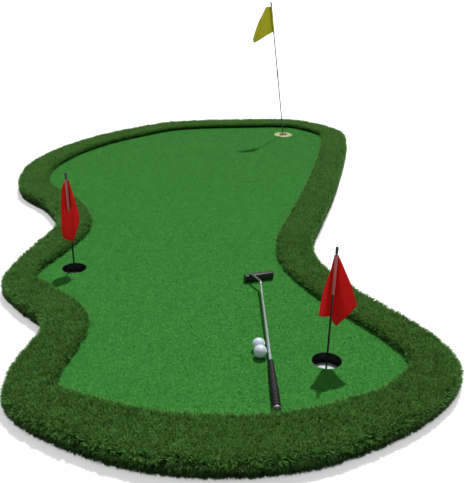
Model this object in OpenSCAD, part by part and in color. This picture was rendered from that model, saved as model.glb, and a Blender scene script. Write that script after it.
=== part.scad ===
// Free-form practice putting green: foam base boards, short putting turf, a raised
// border of tall rough turf, three cups with flagsticks, a putter and two balls.
// Millimetres, +Z up, long axis along Y, origin under the middle of the mat.

/* [Mat] */
// Thickness of the foam base boards
base_h = 30; // [20:1:40]
// Height of the putting turf above the boards
turf_h = 12; // [8:1:16]
// Height of the rough turf above the boards
rough_h = 45; // [30:1:60]
// Width of the rough border
border_w = 130; // [110:5:145]
// Extra width of the border at the near end
near_extra = 45; // [0:5:50]
// How far the grass of the rough leans out over the boards
overhang = 10; // [0:1:15]
// Depth of the dovetail tabs that join the boards
tab_depth = 45; // [30:1:60]
// Number of straight steps along each stretch of the outline
outline_steps = 6; // [4:1:8]

/* [Cups] */
// Diameter of the two sunk cup holes
cup_d = 98; // [90:1:108]
// Wall of the cup liner
liner_wall = 2.5; // [2:0.5:4]
// Depth of the rim of the liner below the putting surface
liner_drop = 2; // [1:0.5:4]
// Thickness of the cup floor
floor_h = 3; // [2:0.5:5]
// Diameter of the cream disc that holds the far flagstick
disc_d = 120; // [100:1:130]

/* [Flagsticks] */
// Diameter of the rods
pole_d = 6.4; // [5:0.2:8]
// Height of the two short flagsticks above the ground
short_top = 433; // [350:1:500]
// Length of the far flagstick from its disc to its tip
tall_len = 824; // [700:1:900]
// Lean of the far flagstick to the left, in degrees
tall_lean = 8; // [0:0.5:10]
// Height of the flag hoist on the short flagsticks
short_hoist = 128; // [110:1:140]
// Height of the flag hoist on the far flagstick
tall_hoist = 150; // [130:1:170]
// Thickness allowed for the draped cloth
cloth_t = 5; // [2:0.5:5]

/* [Putter and balls] */
// Length of the putter from the foot of its neck to its butt
putter_len = 829; // [800:1:840]
// Width of the putter head from heel to toe
head_w = 115; // [100:1:125]
// Length of the grip
grip_len = 249; // [230:1:280]
// Diameter of the balls
ball_d = 42.7; // [42.7:0.1:43]

/* [Hidden] */
$fn = 96;

// Gap between parts that move apart, and running clearance of rods in their holes
gap = 0.3;
run = 0.05;

// ---- Outline -------------------------------------------------------------------
// Places that the edge of the boards passes through, clockwise from the near end
knots = [[200, -1795], [-75, -1755], [-370, -1590], [-425, -1405], [-395, -1130],
         [-530, -960], [-630, -800], [-595, -485], [-555, -235], [-670, 20],
         [-855, 245], [-920, 565], [-850, 885], [-695, 1180], [-470, 1435],
         [-195, 1645], [270, 1745], [655, 1755], [910, 1500], [915, 1210],
         [855, 855], [735, 305], [625, -110], [560, -360], [560, -575],
         [665, -820], [845, -1090], [920, -1260], [905, -1410], [745, -1590],
         [470, -1750]];
knot_count = len(knots);
edge_count = knot_count * outline_steps;

// Point at share t of the smooth curve from b to c, between neighbours a and d
function curve(a, b, c, d, t) =
    0.5 * (2 * b + (c - a) * t + (2 * a - 5 * b + 4 * c - d) * t * t
           + (3 * b - a - 3 * c + d) * t * t * t);
function knot(i) = knots[(i + knot_count) % knot_count];
raw_edge = [for (i = [0 : knot_count - 1], s = [0 : outline_steps - 1])
    curve(knot(i - 1), knot(i), knot(i + 1), knot(i + 2), s / outline_steps)];
xs = [for (p = raw_edge) p[0]];
ys = [for (p = raw_edge) p[1]];
middle = [(max(xs) + min(xs)) / 2, (max(ys) + min(ys)) / 2];
edge = [for (p = raw_edge) p - middle];
near_y = min([for (p = edge) p[1]]);

// Direction across the outline at point i, towards the inside
function inward(i) =
    let (v = edge[(i + 1) % edge_count] - edge[(i - 1 + edge_count) % edge_count])
    [v[1], -v[0]] / norm(v);
// The border is wider at the near end and narrower in the small left lobe
near_reach = 220;
lobe_y = -700;
lobe_reach = 170;
lobe_cut = 38;
function border_at(p) =
    border_w + near_extra * max(0, 1 - (p[1] - near_y) / near_reach)
    - (p[0] < 0 ? lobe_cut * exp(-pow((p[1] - lobe_y) / lobe_reach, 2)) : 0);
outer_ring = [for (i = [0 : edge_count - 1]) edge[i] - overhang * inward(i)];
inner_ring = [for (i = [0 : edge_count - 1]) edge[i] + border_at(edge[i]) * inward(i)];

// ---- Base boards -----------------------------------------------------------------
seams = [-880, 60, 940];
tab_places = [-330, 50, 430];
far_off = 2500;

// Dovetail tabs of one seam, which belong to the board in front of it
module tabs(y) {
    for (x = tab_places)
        translate([x, y])
            polygon([[-35, 0], [-55, tab_depth], [55, tab_depth], [35, 0]]);
}

// One board between two seams, with its tabs at the back and sockets at the front
module board(front, back) {
    linear_extrude(base_h)
        intersection() {
            polygon(edge);
            difference() {
                union() {
                    translate([-far_off, front]) square([2 * far_off, back - front]);
                    if (back < far_off) tabs(back);
                }
                if (front > -far_off) tabs(front);
            }
        }
}

// ---- Cups --------------------------------------------------------------------------
cup_left = [-408, -655];
cup_right = [524, -1292];
cup_far = [538, 1441];
turf_top = base_h + turf_h;

module bore(place, r) {
    translate([place[0], place[1], -1]) cylinder(h = turf_top + 2, r = r);
}

module base_near() {
    color([0.10, 0.11, 0.12])
        difference() {
            board(-far_off, seams[0]);
            bore(cup_right, cup_d / 2);
        }
}
module base_waist() {
    color([0.10, 0.11, 0.12])
        difference() {
            board(seams[0], seams[1]);
            bore(cup_left, cup_d / 2);
        }
}
module base_middle() {
    color([0.10, 0.11, 0.12]) board(seams[1], seams[2]);
}
module base_far() {
    color([0.10, 0.11, 0.12]) board(seams[2], far_off);
}

// ---- Turf --------------------------------------------------------------------------
module putting_turf() {
    color([0.23, 0.50, 0.21])
        difference() {
            translate([0, 0, base_h]) linear_extrude(turf_h) polygon(inner_ring);
            bore(cup_left, cup_d / 2);
            bore(cup_right, cup_d / 2);
        }
}

// One strip of rough turf from knot a to knot b, clockwise
module rough(a, b) {
    first = a * outline_steps;
    last = b * outline_steps;
    strip = concat(
        [for (i = [first : last]) outer_ring[i % edge_count]],
        [for (i = [last : -1 : first]) inner_ring[i % edge_count]]);
    color([0.18, 0.34, 0.14])
        translate([0, 0, base_h]) linear_extrude(rough_h) polygon(strip);
}
module rough_near() { rough(29, 33); }
module rough_left() { rough(2, 12); }
module rough_far() { rough(12, 18); }
module rough_right_far() { rough(18, 23); }
module rough_right_near() { rough(23, 29); }

// ---- Sunk cups ---------------------------------------------------------------------
liner_r = cup_d / 2 - gap;
boss_r = 7;
boss_top = 10;
socket_bottom = 1;

module cup_liner(place) {
    color([0.04, 0.04, 0.045])
        translate([place[0], place[1], 0])
            difference() {
                cylinder(h = turf_top - liner_drop, r = liner_r);
                translate([0, 0, -1]) cylinder(h = turf_top + 2, r = liner_r - liner_wall);
            }
}
module cup_floor(place) {
    color([0.92, 0.92, 0.90])
        translate([place[0], place[1], 0])
            difference() {
                union() {
                    cylinder(h = floor_h, r = liner_r - liner_wall);
                    cylinder(h = boss_top, r = boss_r);
                }
                translate([0, 0, socket_bottom]) cylinder(h = boss_top, r = pole_d / 2 + run);
            }
}
module cup_liner_left() { cup_liner(cup_left); }
module cup_floor_left() { cup_floor(cup_left); }
module cup_liner_right() { cup_liner(cup_right); }
module cup_floor_right() { cup_floor(cup_right); }

// ---- Holder of the far flagstick ---------------------------------------------------
// The boss stands on the disc and is plugged into it; the rod stands in the boss
disc_h = 5;
spigot_r = 12;
spigot_h = 4;
far_boss_r = 27;
far_boss_h = 9;
far_socket_depth = 2.5;
far_pivot = [cup_far[0], cup_far[1], turf_top + disc_h];

// Places its children on the leaning axis of the far flagstick
module on_far_axis() {
    translate(far_pivot) rotate([0, -tall_lean, 0]) children();
}
module far_disc() {
    color([0.86, 0.84, 0.74])
        difference() {
            translate([cup_far[0], cup_far[1], turf_top])
                union() {
                    cylinder(h = 2, r = disc_d / 2);
                    translate([0, 0, 2]) cylinder(h = disc_h - 2, r1 = disc_d / 2, r2 = disc_d / 2 - 5);
                }
            translate(far_pivot - [0, 0, spigot_h]) cylinder(h = 2 * disc_h, r = spigot_r);
        }
}
module far_boss() {
    color([0.66, 0.52, 0.34])
        difference() {
            union() {
                translate(far_pivot) cylinder(h = far_boss_h, r1 = far_boss_r, r2 = far_boss_r - 6);
                translate(far_pivot - [0, 0, spigot_h]) cylinder(h = spigot_h, r = spigot_r);
            }
            on_far_axis() translate([0, 0, -far_socket_depth])
                cylinder(h = far_socket_depth + 3 * far_boss_h, r = pole_d / 2 + run);
        }
}

// ---- Short flagsticks --------------------------------------------------------------
tip_d = 9;
tip_h = 22;
sleeve_r = 4.8;
stop_r = 4.5;
stop_h = 7;
// Clear height between the top of a sleeve and the cap above it
sleeve_play = 6;
short_sleeve_top = short_top - tip_h - sleeve_play;
short_sleeve_bottom = short_sleeve_top - short_hoist;

module at(place) {
    translate([place[0], place[1], 0]) children();
}
module rod(bottom, top) {
    translate([0, 0, bottom]) cylinder(h = top - bottom, r = pole_d / 2);
}
module cap(top) {
    color([0.05, 0.05, 0.05])
        translate([0, 0, top - tip_h])
            difference() {
                union() {
                    cylinder(h = tip_h - tip_d / 2, r = tip_d / 2);
                    translate([0, 0, tip_h - tip_d / 2]) sphere(r = tip_d / 2);
                }
                translate([0, 0, -1]) cylinder(h = tip_h - 7, r = pole_d / 2);
            }
}
module collar(top) {
    color([0.05, 0.05, 0.05])
        translate([0, 0, top - stop_h])
            difference() {
                cylinder(h = stop_h, r = stop_r);
                translate([0, 0, -1]) cylinder(h = stop_h + 2, r = pole_d / 2);
            }
}
module hoist_tube(bottom, top) {
    color([0.62, 0.36, 0.34])
        translate([0, 0, bottom])
            difference() {
                cylinder(h = top - bottom, r = sleeve_r);
                translate([0, 0, -1]) cylinder(h = top - bottom + 2, r = pole_d / 2 + run);
            }
}
// Hanging cloth: plan is the line of its front face seen from above, and outline is its
// shape seen from the front, [across, height]
module cloth(plan, outline) {
    reach = 200;
    back = [for (i = [len(plan) - 1 : -1 : 0]) plan[i] + [0, cloth_t]];
    intersection() {
        linear_extrude(tall_len) polygon(concat(plan, back));
        translate([0, reach, 0]) rotate([90, 0, 0]) linear_extrude(2 * reach) polygon(outline);
    }
}

rod_bottom = socket_bottom + gap;
module pole_left() {
    color([0.06, 0.06, 0.06]) at(cup_left) rod(rod_bottom, short_top - 9);
}
module pole_tip_left() { at(cup_left) cap(short_top); }
module flag_stop_left() { at(cup_left) collar(short_sleeve_bottom - gap); }
module flag_sleeve_left() { at(cup_left) hoist_tube(short_sleeve_bottom, short_sleeve_top); }
module flag_left() {
    color([0.62, 0.13, 0.10])
        at(cup_left)
            cloth([[-48, -35], [-8, -11], [50, -9]],
                  [[-6, 402], [-20, 373], [-27, 303], [-31, 204], [-24, 180],
                   [7, 162], [38, 238], [39, 277], [8, 402]]);
}
module pole_right() {
    color([0.06, 0.06, 0.06]) at(cup_right) rod(rod_bottom, short_top - 9);
}
module pole_tip_right() { at(cup_right) cap(short_top); }
module flag_stop_right() { at(cup_right) collar(short_sleeve_bottom - gap); }
module flag_sleeve_right() { at(cup_right) hoist_tube(short_sleeve_bottom, short_sleeve_top); }
module flag_right() {
    color([0.62, 0.13, 0.10])
        at(cup_right)
            cloth([[-60, -80], [-7, 6], [9, 6], [90, -28]],
                  [[-5, 403], [-13, 358], [-34, 299], [-46, 234], [0, 187],
                   [21, 161], [72, 252], [49, 318], [7, 403]]);
}

// ---- Far flagstick -----------------------------------------------------------------
joint_at = 395;
joint_len = 46;
joint_r = 4.6;
rod_gap = 0.5;
// How far the far flag is turned towards the near end, in degrees
tall_flag_turn = 40;
tall_sleeve_top = tall_len - tip_h - sleeve_play + 2;
tall_sleeve_bottom = tall_sleeve_top - tall_hoist;

module pole_far_lower() {
    color([0.55, 0.56, 0.55]) on_far_axis() rod(gap - far_socket_depth, joint_at - rod_gap);
}
module pole_far_joint() {
    color([0.50, 0.51, 0.50])
        on_far_axis()
            translate([0, 0, joint_at - joint_len / 2])
                difference() {
                    cylinder(h = joint_len, r = joint_r);
                    translate([0, 0, -1]) cylinder(h = joint_len + 2, r = pole_d / 2);
                }
}
module pole_far_upper() {
    color([0.55, 0.56, 0.55]) on_far_axis() rod(joint_at, tall_len - 9);
}
module pole_tip_far() { on_far_axis() cap(tall_len); }
module flag_stop_far() { on_far_axis() collar(tall_sleeve_bottom - gap); }
module flag_sleeve_far() {
    on_far_axis() hoist_tube(tall_sleeve_bottom, tall_sleeve_top);
}
module flag_far() {
    color([0.57, 0.56, 0.13])
        on_far_axis()
            rotate([0, 0, tall_flag_turn])
                cloth([[-190, 6], [10, 6]],
                      [[5, 797], [5, 650], [-79, 632], [-156, 612], [-170, 638],
                       [-105, 729], [-37, 802]]);
}

// ---- Putter ------------------------------------------------------------------------
putter_turn = 2.2;
putter_tilt = 1.78;
head_turn = 17.2;
head_back = 23;
head_h = 28;
head_place = [7.9, 32.4];
axis_h = 80.9;
grip_thin_r = 7.9;
grip_wide_r = 12.4;
shaft_tip_r = 4.7;
shaft_butt_r = 6.4;
shaft_start = 84;
cap_len = 12;
ring_len = 5;
shaft_foot = [321.5, -754.3];

// Places its children with the shaft's lower end at the origin, turned with the putter
module at_putter() {
    translate([shaft_foot[0], shaft_foot[1], axis_h]) rotate([0, 0, putter_turn]) children();
}
// The same place, with -Y along the shaft, which falls to the butt on the turf
module on_putter() {
    at_putter() rotate([putter_tilt, 0, 0]) children();
}
// A round bar along -Y from y = -from to y = -to
module bar(from, to, r1, r2) {
    translate([0, -from, 0]) rotate([90, 0, 0]) cylinder(h = to - from, r1 = r1, r2 = r2);
}

module putter_head() {
    lift = turf_top + gap - axis_h;
    color([0.07, 0.07, 0.08])
        at_putter() rotate([0, 0, head_turn])
            translate([head_place[0] - head_w / 2, head_place[1], lift])
                rotate([90, 0, 90])
                    linear_extrude(head_w)
                        polygon([[0, 3], [-2, 0], [-head_back + 3, 0], [-head_back, 4],
                                 [-head_back, head_h - 5], [-head_back + 1, head_h - 2],
                                 [-head_back + 3, head_h], [-3, head_h], [0, head_h - 4]]);
}
// Bent neck: a foot set in the head's upper side, a slanted bar and a ferrule for the shaft
module putter_hosel() {
    foot = [-34, 8, -10];
    bend = [-22, -14, -1];
    neck_end = [0, -60, 0];
    neck_r = 4.6;
    color([0.20, 0.20, 0.21])
        on_putter() {
            hull() {
                translate(foot) sphere(r = neck_r, $fn = 24);
                translate(bend) sphere(r = neck_r, $fn = 24);
            }
            hull() {
                translate(bend) sphere(r = neck_r, $fn = 24);
                translate(neck_end) sphere(r = neck_r, $fn = 24);
            }
            bar(-neck_end[1], shaft_start, neck_r + 0.6, neck_r + 1.4);
        }
}
module putter_shaft() {
    color([0.72, 0.74, 0.74])
        on_putter()
            union() {
                bar(shaft_start, shaft_start + 30, shaft_tip_r, shaft_tip_r);
                bar(shaft_start + 30, putter_len - cap_len - 4, shaft_tip_r, shaft_butt_r);
            }
}
module putter_grip() {
    color([0.13, 0.12, 0.13])
        on_putter()
            difference() {
                union() {
                    bar(putter_len - grip_len, putter_len - 95, grip_thin_r, grip_wide_r);
                    bar(putter_len - 95, putter_len - cap_len - ring_len, grip_wide_r, grip_wide_r);
                }
                bar(shaft_start + 30, putter_len - cap_len - 4,
                    shaft_tip_r + run, shaft_butt_r + run);
            }
}
module putter_ring() {
    color([0.62, 0.60, 0.60])
        on_putter()
            difference() {
                bar(putter_len - cap_len - ring_len, putter_len - cap_len, grip_wide_r + 0.2,
                    grip_wide_r + 0.2);
                bar(putter_len - cap_len - ring_len - 1, putter_len - cap_len + 1,
                    shaft_butt_r + run, shaft_butt_r + run);
            }
}
module putter_cap() {
    color([0.06, 0.06, 0.06])
        on_putter() bar(putter_len - cap_len, putter_len, grip_wide_r, grip_wide_r - 4);
}

// ---- Balls -------------------------------------------------------------------------
ball_front_place = [313.5, -1282];
ball_back_place = [309.5, -1239];

module ball(place) {
    color([0.93, 0.93, 0.93])
        translate([place[0], place[1], turf_top + gap + ball_d / 2]) sphere(d = ball_d);
}
module ball_front() { ball(ball_front_place); }
module ball_back() { ball(ball_back_place); }

base_near();
base_waist();
base_middle();
base_far();
putting_turf();
rough_near();
rough_left();
rough_far();
rough_right_far();
rough_right_near();
cup_liner_left();
cup_floor_left();
cup_liner_right();
cup_floor_right();
far_disc();
far_boss();
pole_left();
pole_tip_left();
flag_stop_left();
flag_sleeve_left();
flag_left();
pole_right();
pole_tip_right();
flag_stop_right();
flag_sleeve_right();
flag_right();
pole_far_lower();
pole_far_joint();
pole_far_upper();
pole_tip_far();
flag_stop_far();
flag_sleeve_far();
flag_far();
putter_head();
putter_hosel();
putter_shaft();
putter_grip();
putter_ring();
putter_cap();
ball_front();
ball_back();
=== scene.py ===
"""Free-form practice putting green: its grass, cups, flags, putter, balls and the studio round them."""

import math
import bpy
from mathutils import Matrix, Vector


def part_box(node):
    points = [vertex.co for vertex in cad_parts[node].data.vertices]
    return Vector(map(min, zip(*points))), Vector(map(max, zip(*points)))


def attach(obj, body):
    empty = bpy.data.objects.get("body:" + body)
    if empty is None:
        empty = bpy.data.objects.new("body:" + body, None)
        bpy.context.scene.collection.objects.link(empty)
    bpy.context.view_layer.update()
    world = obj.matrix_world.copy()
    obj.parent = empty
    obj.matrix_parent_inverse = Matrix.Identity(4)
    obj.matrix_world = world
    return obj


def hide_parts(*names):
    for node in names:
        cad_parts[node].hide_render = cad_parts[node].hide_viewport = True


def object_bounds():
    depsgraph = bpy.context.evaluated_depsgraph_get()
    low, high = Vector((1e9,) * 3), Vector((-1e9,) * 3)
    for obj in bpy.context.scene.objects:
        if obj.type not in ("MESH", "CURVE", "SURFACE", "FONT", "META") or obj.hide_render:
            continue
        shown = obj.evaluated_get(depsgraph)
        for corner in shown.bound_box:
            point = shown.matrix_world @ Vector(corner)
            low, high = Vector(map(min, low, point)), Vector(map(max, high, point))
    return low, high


bl_info = {
    "name": "Practice Putting Green",
    "version": (1, 0, 0),
    "blender": (4, 5, 0),
    "location": "View3D > Sidebar > Putting Green",
    "description": "Dresses the packed putting green with grass, cloth, metal and rubber",
    "category": "Add Mesh",
}

import bmesh
import bpy
import numpy as np
from bpy.props import FloatProperty, FloatVectorProperty, IntProperty, PointerProperty
from mathutils import Matrix, Vector
from mathutils.kdtree import KDTree

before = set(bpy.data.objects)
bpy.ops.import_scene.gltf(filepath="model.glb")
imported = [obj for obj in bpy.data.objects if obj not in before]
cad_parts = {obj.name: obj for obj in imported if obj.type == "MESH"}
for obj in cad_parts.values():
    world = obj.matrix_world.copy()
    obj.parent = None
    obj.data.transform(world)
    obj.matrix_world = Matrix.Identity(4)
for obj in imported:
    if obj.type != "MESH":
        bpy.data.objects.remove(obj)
CAD_LOW, CAD_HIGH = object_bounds()
MM = 0.001


# ---- Values from the frame ---------------------------------------------------------

def low(node):
    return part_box(node)[0]


def high(node):
    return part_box(node)[1]


def centre(node):
    """Middle of a node's box."""
    return (Vector(low(node)) + Vector(high(node))) / 2


TURF_TOP = high("putting_turf")[2]
BOARD_TOP = high("base_middle")[2]
CUPS = ["cup_liner_left", "cup_liner_right", "far_boss"]
ROUGHS = ["rough_near", "rough_left", "rough_far", "rough_right_far", "rough_right_near"]


def linear(red, green, blue):
    """Linear colour, with full alpha, of an 8-bit display colour."""
    def one(value):
        value /= 255
        return value / 12.92 if value <= 0.04045 else ((value + 0.055) / 1.055) ** 2.4
    return (one(red), one(green), one(blue), 1.0)


def colour(name, description, default):
    return FloatVectorProperty(name=name, description=description, subtype="COLOR", size=4,
                               min=0.0, max=1.0, default=linear(*default))


def size(name, description, default):
    return FloatProperty(name=name, description=description, subtype="DISTANCE", unit="LENGTH",
                         min=0.0, default=default, precision=4)


# ---- Sizes and colours that a user would change ------------------------------------

class GreenStudio(bpy.types.PropertyGroup):
    """Floor, lights and camera."""
    floor_colour: colour("Floor", "Colour of the studio floor", (225, 225, 225))
    floor_glow: FloatProperty(name="Floor glow", description="Light that keeps shadows on the floor pale",
                              min=0.0, default=0.62)
    sun_strength: FloatProperty(name="Sun", description="Strength of the key light",
                                min=0.0, default=3.3)
    sky_strength: FloatProperty(name="Sky", description="Strength of the even light",
                                min=0.0, default=0.34)
    camera_pitch: FloatProperty(name="Pitch", description="Tilt of the camera below the horizon",
                                subtype="ANGLE", unit="ROTATION", default=math.radians(27.04))
    camera_roll: FloatProperty(name="Roll", description="Roll of the camera",
                               subtype="ANGLE", unit="ROTATION", default=math.radians(1.077))


class GreenTurf(bpy.types.PropertyGroup):
    """Short putting turf."""
    blades: IntProperty(name="Blades", description="Number of blades on the putting turf",
                        min=1000, default=590000)
    pile: size("Pile", "Length of a blade above the backing", 4.5 * MM)
    width: size("Width", "Width of a blade at its root", 2.6 * MM)
    dark: colour("Dark", "Colour low in the pile", (62, 140, 56))
    light: colour("Light", "Colour of the tips", (74, 160, 66))


class GreenRough(bpy.types.PropertyGroup):
    """Tall rough turf of the border."""
    top_blades: IntProperty(name="Top blades", description="Number of blades on top of the border",
                            min=1000, default=270000)
    outer_blades: IntProperty(name="Outer blades", description="Number of blades that cover the outer side",
                              min=1000, default=110000)
    inner_blades: IntProperty(name="Inner blades", description="Number of blades along the putting turf",
                              min=1000, default=22000)
    blade_length: size("Length", "Length of the part of a blade that shows", 28.5 * MM)
    width: size("Width", "Width of a blade at its root", 2.4 * MM)
    # Near black: partly the dark backing, partly painted shade between the blades and low in the pile.
    root: colour("Root", "Colour between the blades", (12, 24, 12))
    blade: colour("Blade", "Colour of the deeper blades", (66, 124, 48))
    tip: colour("Tip", "Colour of the lightest tips", (162, 220, 122))


class GreenFlags(bpy.types.PropertyGroup):
    """Flags and their hoist tubes."""
    red: colour("Red", "Colour of the two near flags", (216, 22, 18))
    yellow: colour("Yellow", "Colour of the far flag", (176, 172, 30))
    # Pinkish grey: a red lightened to paint the sheen along the hoist tubes.
    tube: colour("Tube", "Colour of the hoist tubes", (158, 92, 90))
    cloth: size("Cloth", "Thickness of the cloth", 0.5 * MM)


class GreenPutter(bpy.types.PropertyGroup):
    """Putter and balls."""
    grip: colour("Grip", "Colour of the grip", (22, 21, 24))
    head: colour("Head", "Colour of the head", (26, 26, 28))
    ball: colour("Ball", "Colour of the balls", (208, 222, 234))
    dimple: size("Dimple", "Depth of a dimple", 0.3 * MM)


# ---- Modelling helpers -------------------------------------------------------------

def clear_selection():
    if bpy.context.mode != "OBJECT":
        bpy.ops.object.mode_set(mode="OBJECT")
    bpy.ops.object.select_all(action="DESELECT")


def only(piece):
    """Selects one object and makes it the active one."""
    clear_selection()
    piece.select_set(True)
    bpy.context.view_layer.objects.active = piece


def new_mesh(name, points, faces):
    """A linked object made from points and faces."""
    mesh = bpy.data.meshes.new(name)
    mesh.from_pydata([tuple(p) for p in points], [], faces)
    mesh.update()
    made = bpy.data.objects.new(name, mesh)
    bpy.context.scene.collection.objects.link(made)
    return made


def copy_of(node, name):
    """A merged copy of a node's mesh, whose flat faces are whole again."""
    made = bpy.data.objects.new(name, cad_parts[node].data.copy())
    bpy.context.scene.collection.objects.link(made)
    made.data.materials.clear()
    only(made)
    bpy.ops.object.mode_set(mode="EDIT")
    bpy.ops.mesh.select_all(action="SELECT")
    bpy.ops.mesh.remove_doubles(threshold=0.01 * MM)
    bpy.ops.mesh.dissolve_limited(angle_limit=math.radians(1))
    bpy.ops.object.mode_set(mode="OBJECT")
    return made


def smooth(piece, angle=35):
    only(piece)
    bpy.ops.object.shade_smooth_by_angle(angle=math.radians(angle))


def bevelled(piece, width, segments=3, angle=30):
    """Rounds the sharp edges of a piece."""
    only(piece)
    edge = piece.modifiers.new("rounding", "BEVEL")
    edge.width = width
    edge.segments = segments
    edge.limit_method = "ANGLE"
    edge.angle_limit = math.radians(angle)
    bpy.ops.object.modifier_apply(modifier=edge.name)


def turned(name, start, direction, profile, steps=64, closed=False):
    """A piece turned on a lathe: profile holds (place along the axis, radius) pairs."""
    along = Vector(direction).normalized()
    side = along.orthogonal().normalized()
    points = [Vector(start) + along * place + side * radius for place, radius in profile]
    edges = [(i, i + 1) for i in range(len(points) - 1)]
    if closed:
        edges.append((len(points) - 1, 0))
    mesh = bpy.data.meshes.new(name)
    mesh.from_pydata([tuple(p) for p in points], edges, [])
    made = bpy.data.objects.new(name, mesh)
    bpy.context.scene.collection.objects.link(made)
    only(made)
    bpy.ops.object.mode_set(mode="EDIT")
    bpy.ops.mesh.select_all(action="SELECT")
    bpy.ops.mesh.spin(steps=steps, angle=math.tau, center=tuple(start), axis=tuple(along))
    bpy.ops.mesh.select_all(action="SELECT")
    bpy.ops.mesh.remove_doubles(threshold=0.01 * MM)
    bpy.ops.mesh.normals_make_consistent(inside=False)
    bpy.ops.object.mode_set(mode="OBJECT")
    return made


def swept(name, points, radius, sides=24):
    """A round bar of even thickness along a smooth path."""
    clear_selection()
    path = bpy.data.curves.new(name, "CURVE")
    path.dimensions = "3D"
    path.bevel_depth = radius
    path.bevel_resolution = sides // 4
    path.use_fill_caps = True
    path.resolution_u = 10
    line = path.splines.new("NURBS")
    line.points.add(len(points) - 1)
    for point, place in zip(line.points, points):
        point.co = (*place, 1.0)
    line.order_u = 3
    line.use_endpoint_u = True
    made = bpy.data.objects.new(name, path)
    bpy.context.scene.collection.objects.link(made)
    only(made)
    bpy.ops.object.convert(target="MESH")
    bpy.ops.object.mode_set(mode="EDIT")
    bpy.ops.mesh.select_all(action="SELECT")
    bpy.ops.mesh.remove_doubles(threshold=0.01 * MM)
    bpy.ops.mesh.normals_make_consistent(inside=False)
    bpy.ops.object.mode_set(mode="OBJECT")
    return made


def fit(piece, body, slot, material, *nodes):
    """Gives a new piece its material and body, and hides the nodes that it stands for. The slot is not used.
    """
    piece.data.materials.clear()
    piece.data.materials.append(material)
    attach(piece, body)
    if nodes:
        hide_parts(*nodes)


def paint(node, material):
    """Gives a node of the frame its material."""
    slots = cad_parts[node].material_slots
    for one in slots:
        one.material = material


# ---- Material helpers --------------------------------------------------------------

def put(tree, kind, inputs=None, **settings):
    """Adds a shader node, sets its options, and sets or links its inputs."""
    made = tree.nodes.new(kind)
    for name, value in settings.items():
        setattr(made, name, value)
    for name, value in (inputs or {}).items():
        if isinstance(value, bpy.types.NodeSocket):
            tree.links.new(value, made.inputs[name])
        else:
            made.inputs[name].default_value = value
    return made


def new_material(name, **shader):
    """A material with one shader, and its node tree and shader node."""
    made = bpy.data.materials.new(name)
    made.use_nodes = True
    tree = made.node_tree
    body = tree.nodes["Principled BSDF"]
    for socket, value in shader.items():
        body.inputs[socket.replace("_", " ")].default_value = value
    return made, tree, body


def ramp(tree, value, stops):
    """Colours along a value: stops holds (place, colour) pairs."""
    made = put(tree, "ShaderNodeValToRGB", {"Fac": value})
    band = made.color_ramp
    while len(band.elements) < len(stops):
        band.elements.new(0.5)
    for element, (place, shade) in zip(band.elements, stops):
        element.position = place
        element.color = shade
    return made.outputs["Color"]


def spread(tree, value, least, most, start=0.3, end=0.7):
    """Maps a noise value onto a range."""
    return put(tree, "ShaderNodeMapRange", {"Value": value, "From Min": start, "From Max": end,
                                            "To Min": least, "To Max": most}).outputs["Result"]


def noise(tree, place, scale, detail=3.0, rough=0.55):
    return put(tree, "ShaderNodeTexNoise", {"Vector": place, "Scale": scale, "Detail": detail,
                                            "Roughness": rough}).outputs["Fac"]


def shaded(shade, factor):
    """A colour made darker or lighter."""
    return (*[min(1.0, part * factor) for part in shade[:3]], 1.0)


def moulded(name, shade, roughness, grain=1400.0, depth=0.05 * MM, vary=0.12, **shader):
    """Moulded plastic, foam or rubber: fine grain, faint mottling and uneven gloss."""
    made, tree, body = new_material(name, **shader)
    place = put(tree, "ShaderNodeTexCoord").outputs["Object"]
    broad = noise(tree, place, 28.0, 4.0)
    fine = noise(tree, place, grain, 2.0)
    tone = ramp(tree, broad, [(0.3, shaded(shade, 1 - vary)), (0.7, shaded(shade, 1 + vary))])
    tree.links.new(tone, body.inputs["Base Color"])
    tree.links.new(spread(tree, broad, roughness - 0.05, roughness + 0.07), body.inputs["Roughness"])
    bump = put(tree, "ShaderNodeBump", {"Strength": 0.6, "Distance": depth, "Height": fine})
    tree.links.new(bump.outputs["Normal"], body.inputs["Normal"])
    return made


def brushed(name, shade, roughness, stretch, **shader):
    """Metal with fine drawn lines along its length: stretch is the scale on each axis."""
    made, tree, body = new_material(name, Metallic=1.0, **shader)
    place = put(tree, "ShaderNodeTexCoord").outputs["Object"]
    lines = put(tree, "ShaderNodeMapping", {"Vector": place, "Scale": stretch}).outputs["Vector"]
    drawn = noise(tree, lines, 1.0, 3.0)
    spots = noise(tree, place, 60.0, 4.0)
    tone = ramp(tree, spots, [(0.3, shaded(shade, 0.85)), (0.7, shaded(shade, 1.06))])
    tree.links.new(tone, body.inputs["Base Color"])
    tree.links.new(spread(tree, drawn, roughness - 0.05, roughness + 0.09), body.inputs["Roughness"])
    bump = put(tree, "ShaderNodeBump", {"Strength": 0.25, "Distance": 0.02 * MM, "Height": drawn})
    tree.links.new(bump.outputs["Normal"], body.inputs["Normal"])
    return made


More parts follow.
